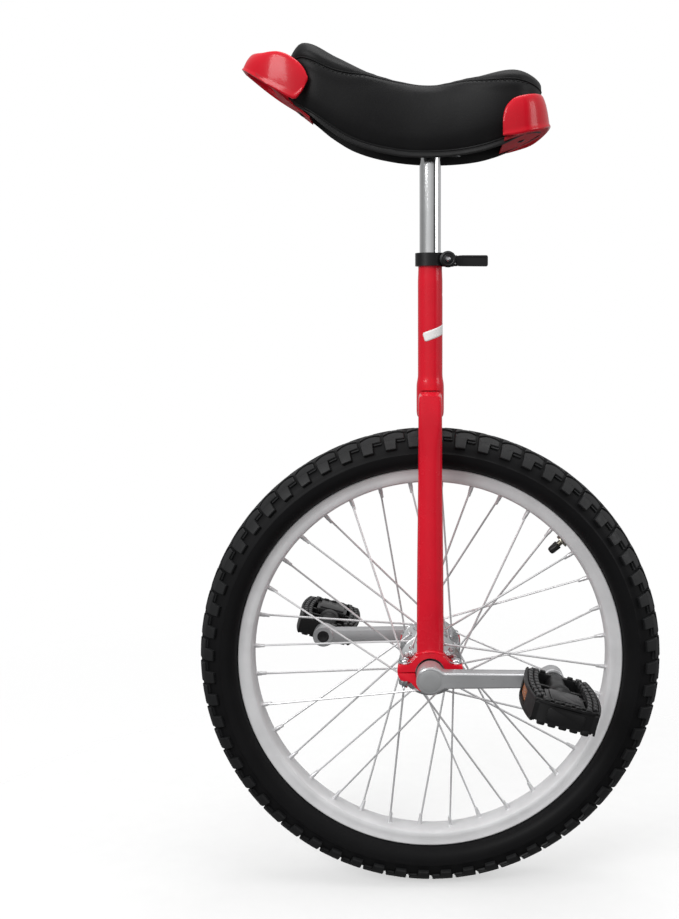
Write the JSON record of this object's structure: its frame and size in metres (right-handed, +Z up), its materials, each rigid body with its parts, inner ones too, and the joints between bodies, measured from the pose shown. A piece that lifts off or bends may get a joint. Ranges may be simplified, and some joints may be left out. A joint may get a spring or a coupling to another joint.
{
  "type": "unicycle",
  "caption": "Learner's unicycle: spoked wheel with knobbly tyre, direct-drive cranks and pedals, two-legged red fork, quick-release seat clamp and curved saddle.",
  "frame": {"origin": "on the ground, straight below the middle of the axle", "axes": "+Z up, -X to the front, +X to the rear, -Y to the rider's left, +Y to the rider's right"},
  "size_m": [0.46, 0.365, 0.829],
  "materials": {
    "red_paint": "gloss red paint",
    "bearing_steel": "ground steel",
    "fastener_steel": "bright zinc plate",
    "clamp_black": "satin black",
    "chrome": "chrome plate",
    "axle_steel": "dark plated steel",
    "plate_steel": "plain steel",
    "base_plastic": "moulded black",
    "foam": "open foam",
    "saddle_vinyl": "satin black vinyl",
    "red_plastic": "gloss red ABS",
    "tyre_rubber": "black tyre rubber",
    "tube_rubber": "black butyl rubber",
    "tape_plastic": "dark strip",
    "rim_alloy": "satin silver",
    "spoke_steel": "zinc plate",
    "crank_alloy": "satin silver grey",
    "dust_cap_plastic": "grey",
    "valve_brass": "plated brass",
    "valve_cap_plastic": "black",
    "pedal_plastic": "moulded black",
    "reflector_amber": "amber, clear face"
  },
  "bodies": {
    "frame": {"seat_tube": "red_paint", "left_fork_leg": "red_paint", "right_fork_leg": "red_paint", "left_bearing_holder": "red_paint", "right_bearing_holder": "red_paint", "left_bearing_cap": "red_paint", "right_bearing_cap": "red_paint", "left_bearing_outer_race": "bearing_steel", "right_bearing_outer_race": "bearing_steel", "left_front_cap_bolt": "fastener_steel", "left_front_cap_nut": "fastener_steel", "left_rear_cap_bolt": "fastener_steel", "left_rear_cap_nut": "fastener_steel", "right_front_cap_bolt": "fastener_steel", "right_front_cap_nut": "fastener_steel", "right_rear_cap_bolt": "fastener_steel", "right_rear_cap_nut": "fastener_steel", "seat_clamp_collar": "clamp_black", "qr_skewer": "fastener_steel", "qr_nut": "clamp_black"},
    "qr_lever": {"qr_lever": "clamp_black"},
    "seatpost": {"seatpost": "chrome"},
    "saddle": {"saddle_plate": "plate_steel", "saddle_base": "base_plastic", "saddle_foam": "foam", "saddle_cover": "saddle_vinyl", "front_handle": "red_plastic", "rear_bumper": "red_plastic", "front_handle_screw": "fastener_steel", "rear_bumper_screw": "fastener_steel", "saddle_bolt_1": "fastener_steel", "saddle_bolt_2": "fastener_steel", "saddle_bolt_3": "fastener_steel", "saddle_bolt_4": "fastener_steel"},
    "wheel": {"tyre": "tyre_rubber", "inner_tube": "tube_rubber", "rim_tape": "tape_plastic", "rim": "rim_alloy", "left_spokes": "spoke_steel", "right_spokes": "spoke_steel", "hub": "chrome", "axle": "axle_steel", "left_bearing_inner_race": "bearing_steel", "right_bearing_inner_race": "bearing_steel", "left_crank": "crank_alloy", "right_crank": "crank_alloy", "left_crank_bolt": "fastener_steel", "right_crank_bolt": "fastener_steel", "left_dust_cap": "dust_cap_plastic", "right_dust_cap": "dust_cap_plastic", "left_pedal_spindle": "axle_steel", "right_pedal_spindle": "axle_steel", "valve_stem": "valve_brass", "valve_cap": "valve_cap_plastic"},
    "left_pedal": {"left_pedal": "pedal_plastic", "left_front_reflector": "reflector_amber", "left_rear_reflector": "reflector_amber"},
    "right_pedal": {"right_pedal": "pedal_plastic", "right_front_reflector": "reflector_amber", "right_rear_reflector": "reflector_amber"}
  },
  "joints": [
    {"name": "wheel_spin", "type": "hinge", "parent": "frame", "child": "wheel", "pos_m": [0, 0, 0.23], "axis": [0, 1, 0], "continuous": true},
    {"name": "left_pedal_spin", "type": "hinge", "parent": "wheel", "child": "left_pedal", "pos_m": [0.114, -0.1325, 0.23], "axis": [0, 1, 0], "continuous": true},
    {"name": "right_pedal_spin", "type": "hinge", "parent": "wheel", "child": "right_pedal", "pos_m": [-0.114, 0.1325, 0.23], "axis": [0, 1, 0], "continuous": true},
    {"name": "seatpost_slide", "type": "slide", "parent": "frame", "child": "seatpost", "axis": [0, 0, 1], "range_m": [-0.045, 0.045]},
    {"name": "saddle_swivel", "type": "hinge", "parent": "seatpost", "child": "saddle", "pos_m": [0, 0, 0.733], "axis": [0, 0, 1], "continuous": true},
    {"name": "qr_lever_swing", "type": "hinge", "parent": "frame", "child": "qr_lever", "pos_m": [0.0172, 0.0165, 0.62425], "axis": [0, 0, 1], "range_deg": [0, 160]}
  ]
}
